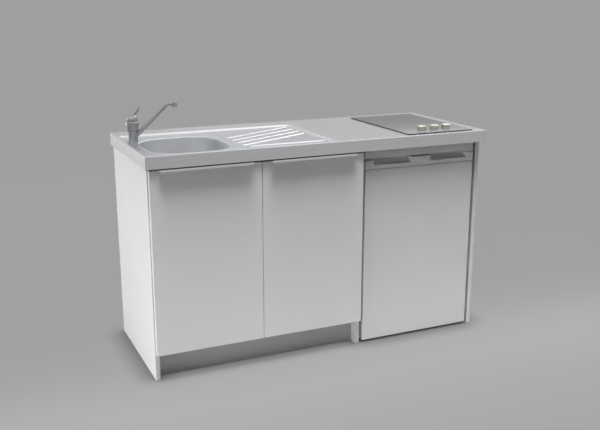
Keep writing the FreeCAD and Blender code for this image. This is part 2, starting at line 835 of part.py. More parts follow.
arms = []
for name, edge, side in (("left", cabinet_left + door_reveal, 1), ("right", cabinet_right - door_reveal, -1)):
    far_edge = cabinet_middle - side * door_middle_gap / 2
    door_x0 = min(edge, far_edge)
    door_x1 = max(edge, far_edge)
    door = soft_box(door_x0, door_x1, door_front, door_back, door_bottom, door_top, door_edge)
    cups = [hinge_cup(edge, side, z) for z in hinge_heights]
    pockets = []
    for z in hinge_heights:
        centre = V(edge + side * (cup_edge + cup_radius), door_back, z)
        pockets.append(cylinder(cup_radius + drill, cup_depth + drill, centre, V(0, -1, 0)))
        arms.append(hinge_arm(edge, side, z))
    save(name + "_door", cut(door, pockets))
    save(name + "_hinge_cups", *cups)
    save(name + "_door_handle", handle(door_x0 + handle_from_door_side, door_x1 - handle_from_door_side))
save("hinge_arms", *arms)

# Tap

tap_direction = V(math.cos(math.radians(tap_turn)), -math.sin(math.radians(tap_turn)), 0)
tap_side = V(-tap_direction.y, tap_direction.x, 0)
base_top = recess_floor + tap_base_height
collar_top = base_top + tap_collar_height
body_bottom = collar_top + side_play
body_top = body_bottom + tap_body_height
cap_centre = body_top + cap_skirt + cap_body_gap
nut_seat = underside + tap_nut_pocket
shank_end = nut_seat - 1.5 * tap_nut_height
cartridge_seat = body_top - cartridge_height

column = turned([
    (0, shank_end), (tap_shank_radius, shank_end), (tap_shank_radius, recess_floor),
    (tap_base_radius, recess_floor), (tap_base_radius, base_top), (tap_column_radius, base_top),
    (tap_column_radius, cartridge_seat), (0, cartridge_seat)], tap_x, tap_y)
tail_places = [V(tap_x, tap_y + sign * tap_tail_spread / 2, shank_end) for sign in (-1, 1)]
tail_depth = tap_nut_height
tail_seats = [cylinder(tap_tail_radius + drill, tail_depth, place, UP) for place in tail_places]
save("tap_column", cut(column, tail_seats))
tails = []
lean = math.radians(tap_tail_bend_angle)
for place, side in zip(tail_places, (-1, 1)):
    drop_end = place - V(0, 0, tap_tail_drop)
    shift = V(0, side * tap_tail_bend * (1 - math.cos(lean)), -tap_tail_bend * math.sin(lean))
    first_half = V(0, side * tap_tail_bend * (1 - math.cos(lean / 2)), -tap_tail_bend * math.sin(lean / 2))
    bend_point = drop_end + shift
    straight_start = bend_point + shift
    tail_path = [Part.LineSegment(place + V(0, 0, tail_depth), drop_end).toShape(),
                 Part.Arc(drop_end, drop_end + first_half, bend_point).toShape(),
                 Part.Arc(bend_point, straight_start - first_half, straight_start).toShape(),
                 Part.LineSegment(straight_start, straight_start - V(0, 0, tap_tail_length)).toShape()]
    tails.append(tube(tail_path, tap_tail_radius))
save("tap_tails", *tails)

nut_bottom = nut_seat - tap_nut_height
nut = turned([(tap_shank_radius + drill, nut_bottom), (tap_nut_radius, nut_bottom),
              (tap_nut_radius, nut_seat), (tap_shank_radius + drill, nut_seat)], tap_x, tap_y)
save("tap_nut", nut)

upper_body = turned([
    (tap_column_radius + drill, body_bottom), (tap_body_radius - tap_body_chamfer, body_bottom),
    (tap_body_radius - tap_body_taper, body_bottom + tap_body_chamfer - tap_body_taper),
    (tap_body_radius, body_top - tap_body_barrel), (tap_body_radius, body_top - tap_body_shoulder),
    (tap_body_radius - tap_body_shoulder, body_top), (cartridge_radius + drill, body_top),
    (cartridge_radius + drill, cartridge_seat), (tap_column_radius + drill, cartridge_seat)], tap_x, tap_y)
save("tap_body", upper_body)

cartridge = turned([(0, cartridge_seat), (cartridge_radius, cartridge_seat), (cartridge_radius, body_top),
                    (0, body_top)], tap_x, tap_y)
save("tap_cartridge", cartridge)

collar_bottom = base_top + side_play
collar = turned([(tap_column_radius + running, collar_bottom), (tap_base_radius, collar_bottom),
                 (tap_collar_radius, collar_top), (tap_column_radius + running, collar_top)], tap_x, tap_y)


def on_tap(reach, z):
    """A point over the tap's own line, at a reach from its axis."""
    return V(tap_x, tap_y, z) + tap_direction * reach


rise = math.radians(spout_rise)
spout_z = (base_top + collar_top) / 2 - spout_radius / 2
spout_start = on_tap(tap_column_radius + 3 * running, spout_z)
level_z = recess_floor + tap_base_height + spout_bend_height
climb = (level_z - spout_z) / math.tan(rise)
corner_reach = tap_column_radius + climb
bend_cut = spout_bend_radius * math.tan(rise / 2)
bend_start = on_tap(corner_reach - bend_cut * math.cos(rise), level_z - bend_cut * math.sin(rise))
bend_end = on_tap(corner_reach + bend_cut, level_z)
bend_centre = bend_end - V(0, 0, spout_bend_radius)
half_turn = rise / 2
bend_middle = bend_centre + tap_direction * (-spout_bend_radius * math.sin(half_turn))
bend_middle = bend_middle + V(0, 0, spout_bend_radius * math.cos(half_turn))
spout_end = on_tap(spout_reach, level_z)
spout_path = [Part.LineSegment(spout_start, bend_start).toShape(),
              Part.Arc(bend_start, bend_middle, bend_end).toShape(),
              Part.LineSegment(bend_end, spout_end).toShape()]
spout_tube = tube(spout_path, spout_radius)
column_room = cylinder(tap_column_radius + running, tap_collar_height * 3,
                       V(tap_x, tap_y, base_top - tap_collar_height), UP)
collar_band = box(tap_x - 2 * spout_reach, tap_x + 2 * spout_reach, tap_y - 2 * spout_reach,
                  tap_y + 2 * spout_reach, collar_bottom, level_z + 4 * spout_radius)
aerator_place = spout_end
nozzle = cylinder(aerator_radius, spout_radius + aerator_height, aerator_place + V(0, 0, spout_radius), DOWN)
nozzle = soften(nozzle, nozzle_edge, lambda bounds: bounds.ZMin > level_z)
nozzle_end = level_z - aerator_height
insert_top = nozzle_end + aerator_insert
insert_radius = aerator_radius - aerator_wall
aerator_seat = cylinder(insert_radius + drill, aerator_insert, aerator_place - V(0, 0, aerator_height), UP)
spout = fuse([collar, spout_tube, nozzle]).common(collar_band)
spout = cut(spout, [column_room, aerator_seat])
save("tap_spout", spout)
aerator_bottom = nozzle_end - aerator_proud
aerator_rim = insert_radius - aerator_wall
aerator = turned([
    (0, nozzle_end + aerator_proud), (aerator_rim, nozzle_end + aerator_proud), (aerator_rim, aerator_bottom),
    (insert_radius, aerator_bottom), (insert_radius, insert_top), (0, insert_top)],
    aerator_place.x, aerator_place.y)
save("tap_aerator", aerator)

# The lever's cap rides on a dome that turns; the dome carries the pin that the cap tilts on.
dome_radius = cap_radius - cap_wall - side_play
cap_place = V(tap_x, tap_y, cap_centre)
dome_floor = body_top + side_play
ball = Part.makeSphere(dome_radius, cap_place)
above = box(tap_x - 2 * cap_radius, tap_x + 2 * cap_radius, tap_y - 2 * cap_radius, tap_y + 2 * cap_radius,
            dome_floor, cap_centre + 2 * cap_radius)
pin_half = cap_radius - cap_wall / 2
pin = cylinder(lever_pin_radius, 2 * pin_half, cap_place - tap_side * pin_half, tap_side)
save("tap_lever_dome", fuse([ball.common(above), pin]))

cap = Part.makeSphere(cap_radius, cap_place).cut(Part.makeSphere(cap_radius - cap_wall, cap_place))
keep = box(tap_x - 2 * cap_radius, tap_x + 2 * cap_radius, tap_y - 2 * cap_radius, tap_y + 2 * cap_radius,
           cap_centre - cap_skirt, cap_centre + 2 * cap_radius)
cap = cap.common(keep)
hinge_line = cap_place - tap_direction * lever_pin_radius * 2 - V(0, 0, cap_skirt)
wedge_far = hinge_line - tap_direction * 2 * cap_radius
wedge_top = wedge_far + V(0, 0, 2 * cap_radius * math.tan(math.radians(lever_tilt_room)))
wedge_face = Part.Face(Part.makePolygon([hinge_line, wedge_far, wedge_top, hinge_line]))
wedge = wedge_face.extrude(tap_side * 4 * cap_radius)
wedge.translate(tap_side * -2 * cap_radius)
bore_half = pin_half + side_play
pin_bore = cylinder(lever_pin_radius + running, 2 * bore_half, cap_place - tap_side * bore_half, tap_side)
blade_root = on_tap(-lever_root_back, cap_centre + lever_root)
blade_tip = on_tap(lever_reach, cap_centre + lever_top)
blade_run = blade_tip - blade_root
root_wide = blade_root + tap_side * (lever_root_width / 2)
root_far = blade_root + tap_direction * (lever_root_length / 2)
root_ring = Part.Wire([Part.Ellipse(root_wide, root_far, blade_root).toShape()])
tip_rise = blade_run.cross(tap_side)
tip_rise.normalize()
tip_wide = blade_tip + tap_side * (lever_width / 2)
tip_high = blade_tip + tip_rise * (lever_thickness / 2)
tip_ring = Part.Wire([Part.Ellipse(tip_wide, tip_high, blade_tip).toShape()])
blade = Part.makeLoft([root_ring, tip_ring], True)
blade = soften(blade, lever_edge, lambda bounds: bounds.ZMin > blade_tip.z - lever_width)
blade = blade.cut(Part.makeSphere(cap_radius - cap_wall / 2, cap_place))
lever = fuse([cut(cap, [wedge, pin_bore]), blade])
save("tap_lever", lever)

# Hob

knob_places = []
for index in range(knob_count):
    offset = (index - (knob_count - 1) / 2) * knob_pitch + knob_row_offset
    knob_places.append(V((hob_x0 + hob_x1) / 2 + offset, hob_y0 + knob_from_front, 0))
glass = box(hob_x0, hob_x1, hob_y0, hob_y1, worktop_top, hob_top)
glass = soften(glass, hob_glass_bevel, lambda bounds: bounds.ZMin > worktop_top + hob_glass / 2)
spindle_holes = []
for place in knob_places:
    spindle_holes.append(cylinder(spindle_radius + side_play, hob_glass + 2 * over,
                                  place + V(0, 0, worktop_top - over), UP))
save("hob_glass", cut(glass, spindle_holes))

tray_x0 = hob_x0 + hob_lap + hob_cutout_gap
tray_x1 = hob_x1 - hob_lap - hob_cutout_gap
tray_y0 = hob_y0 + hob_lap + hob_cutout_gap
tray_y1 = hob_y1 - hob_lap - hob_cutout_gap
tray_bottom = worktop_top - hob_tray_depth
tray_floor = tray_bottom + hob_tray_sheet
tray = box(tray_x0, tray_x1, tray_y0, tray_y1, tray_bottom, worktop_top)
tray_room = box(tray_x0 + hob_tray_sheet, tray_x1 - hob_tray_sheet, tray_y0 + hob_tray_sheet,
                tray_y1 - hob_tray_sheet, tray_floor, worktop_top + over)
save("hob_tray", tray.cut(tray_room))

front_heater_y = hob_y0 + front_heater_from_front
rear_heater_start = front_heater_y + front_heater_radius + heater_gap
rear_heater_radius = (hob_y1 - heater_from_back - rear_heater_start) / 2
rear_heater_y = rear_heater_start + rear_heater_radius
rim = worktop_top - heater_glass_gap
heaters = []
for radius, y in ((rear_heater_radius, rear_heater_y), (front_heater_radius, front_heater_y)):
    heaters.append(turned([
        (0, tray_floor), (radius, tray_floor), (radius, rim), (radius - heater_wall, rim),
        (radius - heater_wall, tray_floor + heater_floor), (0, tray_floor + heater_floor)],
        (hob_x0 + hob_x1) / 2, y))
save("hob_heaters", *heaters)

switches = []
switch_top = tray_floor + switch_height
for place in knob_places:
    half = switch_size / 2
    body = box(place.x - half, place.x + half, place.y - half, place.y + half, tray_floor, switch_top)
    bore = cylinder(spindle_radius + running, switch_height, V(place.x, place.y, tray_floor + 4 * over), UP)
    switches.append(body.cut(bore))
save("hob_switches", *switches)

knob_bottom = hob_top + side_play
knob_crown = knob_bottom + knob_height
for index, place in enumerate(knob_places):
    body = cylinder(knob_radius, knob_height, V(place.x, place.y, knob_bottom), UP)
    body = soften(body, knob_edge, lambda bounds: bounds.ZMin > knob_bottom + knob_height / 2)
    groove = box(place.x - knob_groove_width / 2, place.x + knob_groove_width / 2, place.y,
                 place.y + knob_radius, knob_crown - knob_groove_depth, knob_crown + over)
    spindle = cylinder(spindle_radius, knob_bottom - tray_floor - 5 * over,
                       V(place.x, place.y, tray_floor + 5 * over), UP)
    save("hob_knob_" + str(index + 1), fuse([body, spindle]).cut(groove))

# Fridge cabinet

body_box = box(fridge_left, fridge_right, fridge_front, fridge_back, fridge_foot, fridge_height)
body_room = box(fridge_left + fridge_sheet, fridge_right - fridge_sheet, fridge_front - over,
                fridge_back - fridge_sheet, fridge_foot + fridge_sheet, fridge_height - fridge_sheet)
machine_top = fridge_foot + machine_height
machine_front = fridge_back - machine_depth
machine_room = box(fridge_left + fridge_sheet, fridge_right - fridge_sheet, machine_front, fridge_back + over,
                   fridge_foot + fridge_sheet, machine_top)
save("fridge_cabinet", body_box.cut(body_room).cut(machine_room))


def cavity(inset):
    """The stepped inside of the fridge, open at its front, drawn in by inset."""
    x0 = fridge_left + fridge_wall + inset
    x1 = fridge_right - fridge_wall - inset
    top = fridge_height - fridge_wall - inset
    upper = box(x0, x1, fridge_front - over, fridge_back - fridge_wall - inset,
                machine_top + fridge_wall + inset, top)
    lower = box(x0, x1, fridge_front - over, machine_front - fridge_wall - inset,
                fridge_foot + fridge_wall + inset, top)
    return fuse([upper, lower])


# The liner's front is flanged over the insulation, out to the cabinet's sheet.
flange_plate = box(fridge_left + fridge_sheet, fridge_right - fridge_sheet, fridge_front,
                   fridge_front + liner, fridge_foot + fridge_sheet, fridge_height - fridge_sheet)
liner_flange = flange_plate.cut(cavity(0))
foam_box = body_box.common(body_room)
save("fridge_insulation", cut(foam_box, [machine_room, cavity(0), liner_flange]))

room_x0 = fridge_left + fridge_wall + liner
room_x1 = fridge_right - fridge_wall - liner
room_back = fridge_back - fridge_wall - liner
room_top = fridge_height - fridge_wall - liner
room_bottom = fridge_foot + fridge_wall + liner
step_back = machine_front - fridge_wall - liner
shelf_y0 = fridge_front + shelf_front
shelf_y1 = room_back - shelf_back_gap
step_top = machine_top + fridge_wall + liner
shelf_pitch = (room_top - step_top) / shelf_count
shelf_heights = [step_top + index * shelf_pitch for index in range(shelf_count)]
ledges = []
for height in shelf_heights:
    ledge_back = step_back if height == step_top else shelf_y1
    for x0, x1 in ((room_x0 - over, room_x0 + shelf_ledge), (room_x1 - shelf_ledge, room_x1 + over)):
        ledges.append(box(x0, x1, shelf_y0, ledge_back, height - shelf_ledge, height))
front_trim = box(fridge_left, fridge_right, fridge_front, fridge_back, fridge_foot, fridge_height)
lining = cut(cavity(0), [cavity(liner)]).common(front_trim)
save("fridge_liner", fuse([lining, liner_flange] + ledges))

shelves = []
for height in shelf_heights:
    shelves.append(box(room_x0 + side_play, room_x1 - side_play, shelf_y0, shelf_y1, height,
                       height + shelf_glass))
save("fridge_shelves", *shelves)

crisper_y1 = step_back - crisper_back_gap
crisper = box(room_x0 + crisper_side_gap, room_x1 - crisper_side_gap, shelf_y0, crisper_y1, room_bottom,
              room_bottom + crisper_height)
crisper_room = box(room_x0 + crisper_side_gap + crisper_wall, room_x1 - crisper_side_gap - crisper_wall,
                   shelf_y0 + crisper_wall, crisper_y1 - crisper_wall, room_bottom + crisper_wall,
                   room_bottom + crisper_height + over)
save("fridge_crisper", crisper.cut(crisper_room))

thermostat_top = room_top - thermostat_from_top
thermostat_y0 = shelf_y0 + 2 * shelf_ledge
dial_y = thermostat_y0 + thermostat_length / 2
dial_z = thermostat_top - thermostat_height / 2
housing_face = room_x1 - thermostat_depth
housing = box(housing_face, room_x1, thermostat_y0, thermostat_y0 + thermostat_length,
              thermostat_top - thermostat_height, thermostat_top)
dial_bore = cylinder(spindle_radius + running, dial_height, V(housing_face, dial_y, dial_z), RIGHT)
save("fridge_thermostat", housing.cut(dial_bore))
dial_face = housing_face - side_play
dial = cylinder(dial_radius, dial_height, V(dial_face, dial_y, dial_z), LEFT)
dial_tip = dial_face - dial_height
pointer = box(dial_tip - dial_pointer, dial_face - dial_height / 2, dial_y - dial_pointer / 2,
              dial_y + dial_pointer / 2, dial_z - dial_radius + over, dial_z + dial_radius - over)
dial_spindle = cylinder(spindle_radius, dial_height, V(dial_face - over, dial_y, dial_z), RIGHT)
save("fridge_dial", fuse([dial, pointer, dial_spindle]))

# Compressor and condenser at the back of the fridge
compressor_y = fridge_back - machine_depth / 2
deck = fridge_foot + fridge_sheet
shell_bottom = deck + compressor_foot + compressor_plate
shell = cylinder(compressor_radius, compressor_height, V(fridge_centre, compressor_y, shell_bottom), UP)
shell = soften(shell, compressor_shoulder, lambda bounds: bounds.ZMin > shell_bottom + over)
plate = box(fridge_centre - compressor_plate_half, fridge_centre + compressor_plate_half,
            compressor_y - compressor_radius, compressor_y + compressor_radius, deck + compressor_foot,
            shell_bottom)
grommets = []
foot_reach = compressor_radius - compressor_foot_radius
for side_x in (-1, 1):
    for side_y in (-1, 1):
        place = V(fridge_centre + side_x * compressor_foot_spread, compressor_y + side_y * foot_reach, deck)
        grommets.append(cylinder(compressor_foot_radius, compressor_foot, place, UP))
save("fridge_compressor", fuse([shell, plate] + grommets))

coil_y = fridge_back + coil_standoff
coil_x0 = fridge_left + coil_inset
coil_x1 = fridge_right - coil_inset
coil_bottom = machine_top + coil_above_machine
coil_top = fridge_height - coil_from_top
coil_pitch = (coil_top - coil_bottom) / (coil_pass_count - 1)
bend = coil_pitch / 2
coil_edges = []
for index in range(coil_pass_count):
    z = coil_bottom + index * coil_pitch
    ends = (coil_x0 + bend, coil_x1 - bend) if index % 2 == 0 else (coil_x1 - bend, coil_x0 + bend)
    coil_edges.append(Part.LineSegment(V(ends[0], coil_y, z), V(ends[1], coil_y, z)).toShape())
    if index < coil_pass_count - 1:
        outward = bend if index % 2 == 0 else -bend
        coil_edges.append(Part.Arc(V(ends[1], coil_y, z), V(ends[1] + outward, coil_y, z + bend),
                                   V(ends[1], coil_y, z + coil_pitch)).toShape())
coil = tube(coil_edges, coil_radius)
fin_plate = box(coil_x0, coil_x1, coil_y - coil_plate / 2, coil_y + coil_plate / 2, coil_bottom - coil_margin,
                coil_top + coil_margin)
coil_pieces = [coil, fin_plate]
for x in (coil_x0 + bend, coil_x1 - bend - coil_clip_width):
    for z in (coil_bottom, coil_top):
        coil_pieces.append(box(x, x + coil_clip_width, fridge_back, coil_y, z - coil_clip_width / 2,
                               z + coil_clip_width / 2))
save("fridge_condenser", fuse(coil_pieces))

feet = []
for x in (fridge_left + foot_inset, fridge_right - foot_inset):
    for y in (fridge_front + foot_front_inset, fridge_back - foot_back_inset):
        feet.append(turned([(0, 0), (foot_pad_radius, 0), (foot_pad_radius, foot_pad),
                            (foot_stem_radius, foot_pad), (foot_stem_radius, fridge_foot), (0, fridge_foot)],
                           x, y))
save("fridge_feet", *feet)

# Fridge door
cap_bottom = fridge_door_top - cap_height
skin_back = fridge_door_back - liner
door_block = box(fridge_left, fridge_right, fridge_door_front, skin_back, fridge_door_bottom, cap_bottom)
door_block = soften(door_block, door_skin_edge, lambda bounds: bounds.ZLength > cap_height
                    and bounds.YMax < fridge_door_front + over)
door_room = box(fridge_left + door_skin, fridge_right - door_skin, fridge_door_front + door_skin,
                skin_back + over, fridge_door_bottom - over, cap_bottom + over)
door_room = soften(door_room, door_skin_edge - door_skin, lambda bounds: bounds.ZLength > cap_height
                   and bounds.YMax < fridge_door_front + 2 * door_skin)
save("fridge_door_skin", door_block.cut(door_room))
end_cap_top = fridge_door_bottom + door_end_cap
pin_place = V(fridge_hinge_x, fridge_hinge_y, 0)
filling = door_block.common(door_room)
lower_part = box(fridge_left, fridge_right, fridge_door_front, skin_back, fridge_door_bottom, end_cap_top)
upper_part = box(fridge_left, fridge_right, fridge_door_front, skin_back, end_cap_top, cap_bottom)
save("fridge_door_insulation", filling.common(upper_part))
lower_bore = cylinder(hinge_pin_radius + running, door_end_cap, pin_place + V(0, 0, fridge_door_bottom), UP)
lower_cap = filling.common(lower_part).cut(lower_bore)

upper_cap = box(fridge_left, fridge_right, fridge_door_front, fridge_door_back, cap_bottom, fridge_door_top)
upper_cap = soften(upper_cap, door_skin_edge, lambda bounds: bounds.YMax < fridge_door_front + over
                   and bounds.ZMax > cap_bottom + over)
upper_bore = cylinder(hinge_pin_radius + running, hinge_pin_length + over,
                      pin_place + V(0, 0, fridge_door_top - hinge_pin_length - over), UP)
grips = []
for side in (-1, 1):
    near = fridge_centre + side * grip_from_centre
    far = fridge_centre + side * (fridge_right - fridge_centre - grip_from_side)
    x0 = min(near, far)
    x1 = max(near, far)
    grip_back = fridge_door_front + grip_depth
    mouth = box(x0, x1, fridge_door_front - over, grip_back, fridge_door_top - grip_height,
                fridge_door_top + over)
    behind = box(x0, x1, fridge_door_front + grip_lip, grip_back,
                 fridge_door_top - grip_height - grip_undercut, fridge_door_top + over)
    grips.append(fuse([mouth, behind]))
groove_bottom = cap_bottom + cap_groove_rise
cap_groove = box(fridge_left - over, fridge_right + over, fridge_door_front - over,
                 fridge_door_front + cap_groove_depth, groove_bottom, groove_bottom + cap_groove_height)
upper_cap = cut(upper_cap, grips + [upper_bore, cap_groove])
save("fridge_door_caps", upper_cap, lower_cap)

door_liner = box(fridge_left, fridge_right, skin_back, fridge_door_back, fridge_door_bottom, cap_bottom)
dyke_x0 = room_x0 + dyke_inset
dyke_x1 = room_x1 - dyke_inset
dyke_bottom = room_bottom + dyke_end
dyke_top = cap_bottom - dyke_end
dykes = []
for x0 in (dyke_x0, dyke_x1 - dyke_width):
    dykes.append(box(x0, x0 + dyke_width, fridge_door_back - liner, fridge_door_back + dyke_depth,
                     dyke_bottom, dyke_top))
save("fridge_door_liner", fuse([door_liner] + dykes))

bins = []
bin_pitch = (dyke_top - dyke_bottom) / len(bin_heights)
for index, height in enumerate(bin_heights):
    bottom = dyke_bottom + bin_rise + index * bin_pitch
    x0 = dyke_x0 + dyke_width
    x1 = dyke_x1 - dyke_width
    y1 = fridge_door_back + bin_depth
    tub = box(x0, x1, fridge_door_back, y1, bottom, bottom + height)
    tub_room = box(x0 + bin_wall, x1 - bin_wall, fridge_door_back + bin_wall, y1 - bin_wall,
                   bottom + bin_wall, bottom + height + over)
    bins.append(tub.cut(tub_room))
save("fridge_door_bins", *bins)

gasket_x0 = fridge_left + gasket_inset
gasket_x1 = fridge_right - gasket_inset
gasket_z0 = fridge_foot + gasket_inset
gasket_z1 = fridge_door_top - gasket_inset
gasket_back = fridge_door_back + gasket_thickness
gasket = box(gasket_x0, gasket_x1, fridge_door_back, gasket_back, gasket_z0, gasket_z1)
gasket_room = box(gasket_x0 + gasket_width, gasket_x1 - gasket_width, fridge_door_back - over,
                  gasket_back + over, gasket_z0 + gasket_width, gasket_z1 - gasket_width)
save("fridge_gasket", gasket.cut(gasket_room))

plate_x0 = fridge_right - hinge_plate_width
plate_y0 = fridge_hinge_y - 3 * hinge_pin_radius
plate_y1 = fridge_front + hinge_plate_tail
top_plate = box(plate_x0, fridge_right, plate_y0, plate_y1, fridge_height, fridge_height + hinge_plate)
top_pin = cylinder(hinge_pin_radius, hinge_pin_length, pin_place + V(0, 0, fridge_height), DOWN)
low_top = fridge_door_bottom - hinge_foot_gap
low_plate = box(plate_x0, fridge_right, plate_y0, plate_y1, low_top - hinge_plate, low_top)
low_block = box(plate_x0, fridge_right, fridge_front + hinge_plate, plate_y1, low_top - hinge_plate,
                fridge_foot)
low_pin = cylinder(hinge_pin_radius, hinge_pin_length, pin_place + V(0, 0, low_top), UP)
save("fridge_hinges", fuse([top_plate, top_pin]), fuse([low_plate, low_block, low_pin]))
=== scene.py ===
import json
import math
from typing import NamedTuple

import bpy
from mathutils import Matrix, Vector


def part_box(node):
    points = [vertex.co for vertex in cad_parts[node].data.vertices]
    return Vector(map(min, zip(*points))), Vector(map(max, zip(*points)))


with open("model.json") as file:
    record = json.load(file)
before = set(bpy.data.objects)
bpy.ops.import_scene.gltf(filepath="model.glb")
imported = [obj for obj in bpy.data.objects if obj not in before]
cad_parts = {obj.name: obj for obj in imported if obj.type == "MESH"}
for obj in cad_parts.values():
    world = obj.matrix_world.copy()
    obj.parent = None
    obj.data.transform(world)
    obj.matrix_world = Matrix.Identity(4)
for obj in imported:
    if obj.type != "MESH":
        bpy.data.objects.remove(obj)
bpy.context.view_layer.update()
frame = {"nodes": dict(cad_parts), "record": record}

# Camera, from the photograph's edges: metres, degrees, and millimetres for lens and sensor
CAMERA_PLACE = (-1.46395, -3.24557, 1.47552)
CAMERA_TURN = (75.114, 0.0, -24.273)
CAMERA_LENS = 50.24
SENSOR_WIDTH = 36.0

# Colours of the finishes, linear
WHITE_BOARD = (0.70, 0.705, 0.71)
PLINTH_BOARD = (0.45, 0.455, 0.46)
RAW_BOARD = (0.42, 0.30, 0.18)
# Painted shade: near-black for the raw board's downward faces, under the worktop
PAINTED_UNDERSIDE_SHADE = (0.035, 0.034, 0.033)
STEEL = (0.75, 0.757, 0.768)
BOWL_STEEL = (0.79, 0.796, 0.804)
PLATED = (0.58, 0.585, 0.59)
HANDLE = (0.70, 0.706, 0.716)
CHROME = (0.46, 0.465, 0.474)
BRASS = (0.60, 0.40, 0.16)
DARK_PLASTIC = (0.09, 0.092, 0.095)
HOB = (0.18, 0.181, 0.183)
HOB_EDGE = (0.035, 0.036, 0.038)
HEATER = (0.42, 0.39, 0.32)
CREAM = (0.55, 0.53, 0.472)
WHITE_PAINT = (0.70, 0.705, 0.71)
WHITE_PLASTIC = (0.72, 0.725, 0.73)
CAP_PLASTIC = (0.74, 0.745, 0.75)
FOAM = (0.70, 0.68, 0.62)
CLEAR = (0.80, 0.86, 0.88)
GLASS = (0.82, 0.90, 0.87)
GASKET = (0.48, 0.485, 0.49)
BLACK = (0.03, 0.03, 0.031)

# Patterns
NOISE_LOW = 0.35  # the part of a noise's range that is used
NOISE_HIGH = 0.65
EVEN = (1.0, 1.0, 1.0)  # no stretch
PATCH_TO_LINE = 0.6  # how fine a brushed metal's dull patches are against its lines

# Studio floor, lengths in metres
FLOOR = (0.20, 0.201, 0.203)  # as light meets it
FLOOR_SEEN = (0.385, 0.386, 0.389)  # as it is seen
FLOOR_GLOW = 0.87  # the share of that tone in what is seen
FLOOR_WIDTH = 400.0
# How far from the object the painted shadow in the floor's seen tone reaches
FLOOR_PAINTED_SHADOW_REACH = 0.10

# Surroundings
SKY = (0.98, 0.99, 1.0)
SKY_LIGHT = 0.15
BACKDROP_BRIGHT_SIDE = (-0.4, -0.9, 0.0)
BACKDROP_BRIGHT = 0.95
BACKDROP_DIM = 0.58
BACKDROP_CLEAR_OF_FLOOR = 0.22  # the rise, per length of view, that ends the floor's tone

# What the lamps are aimed at, from the frame, in metres
FRONT_EDGE_DROP = 0.02
worktop_low, worktop_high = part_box("steel_top")
LEFT_END = worktop_low.x
RIGHT_END = worktop_high.x
WORKTOP = worktop_high.z
FRONT_EDGE = WORKTOP - FRONT_EDGE_DROP

# Lamps
CEILING = 3.2  # metres
WIDE_OPEN = 180.0  # the spread, in degrees, of a lamp with nothing round it
MATT = "matt"  # lights matt surfaces and shows in no reflection
GLOSSY = "glossy"  # shows in reflections only
ALL = "all"


class Lamp(NamedTuple):
    """A rectangular lamp: place, target and size in metres, power in watts, spread in degrees."""

    name: str
    place: tuple
    target: tuple
    width: float
    height: float
    power: float
    spread: float
    rays: str


LAMPS = (
    Lamp("door_strip", place=(0.0, -0.48, CEILING), target=(0.0, -0.48, 0.0),
         width=4.0, height=0.22, power=8.0, spread=15.0, rays=MATT),
    Lamp("front_strip", place=(0.0, -0.75, CEILING), target=(0.0, -0.75, 0.0),
         width=4.0, height=0.5, power=38.0, spread=38.0, rays=MATT),
    Lamp("top_box", place=(0.0, 0.8, CEILING), target=(0.0, 0.3, 0.0),
         width=4.4, height=2.8, power=33.0, spread=WIDE_OPEN, rays=MATT),
    Lamp("left_box", place=(-3.6, -0.2, 0.4), target=(LEFT_END, 0.0, 0.35),
         width=3.0, height=0.75, power=15.0, spread=70.0, rays=MATT),
    Lamp("left_back_box", place=(-3.0, 2.6, 0.8), target=(-0.7, 0.0, 0.6),
         width=2.0, height=1.4, power=18.0, spread=WIDE_OPEN, rays=ALL),
    Lamp("right_box", place=(4.0, 0.6, 0.9), target=(RIGHT_END, 0.0, 0.5),
         width=2.0, height=1.2, power=9.0, spread=70.0, rays=MATT),
    Lamp("back_box", place=(0.5, 4.5, 0.6), target=(0.0, 0.0, 0.45),
         width=4.0, height=0.8, power=14.0, spread=70.0, rays=MATT),
    Lamp("rim_glint", place=(0.7, 1.3, 3.1), target=(0.0, 0.0, WORKTOP),
         width=2.4, height=0.6, power=5.5, spread=WIDE_OPEN, rays=GLOSSY),
    Lamp("front_glint", place=(0.8, -0.2, 3.1), target=(0.0, -0.2, WORKTOP),
         width=1.6, height=0.4, power=4.0, spread=WIDE_OPEN, rays=GLOSSY),
    Lamp("edge_glint", place=(1.35, -3.0, 0.33), target=(0.0, -0.3, FRONT_EDGE),
         width=3.4, height=0.5, power=1.0, spread=WIDE_OPEN, rays=GLOSSY),
    Lamp("border_glint", place=(0.7, 3.5, 2.75), target=(0.05, 0.0, WORKTOP),
         width=0.6, height=0.6, power=0.9, spread=WIDE_OPEN, rays=GLOSSY),
    Lamp("drainer_glint", place=(2.1, 0.95, 3.0), target=(-0.05, 0.0, WORKTOP),
         width=0.6, height=0.6, power=7.0, spread=WIDE_OPEN, rays=GLOSSY),
)


def shade(colour, factor=1.0):
    """The colour made lighter or darker by a factor, with its alpha."""
    return tuple(min(channel * factor, 1.0) for channel in colour) + (1.0,)


def map_range(tree, value, low_at, high_at, low, high):
    """A node that takes a value from one range to another."""
    node = tree.nodes.new("ShaderNodeMapRange")
    limits = {"From Min": low_at, "From Max": high_at, "To Min": low, "To Max": high}
    for socket, limit in limits.items():
        node.inputs[socket].default_value = limit
    tree.links.new(value, node.inputs["Value"])
    return node


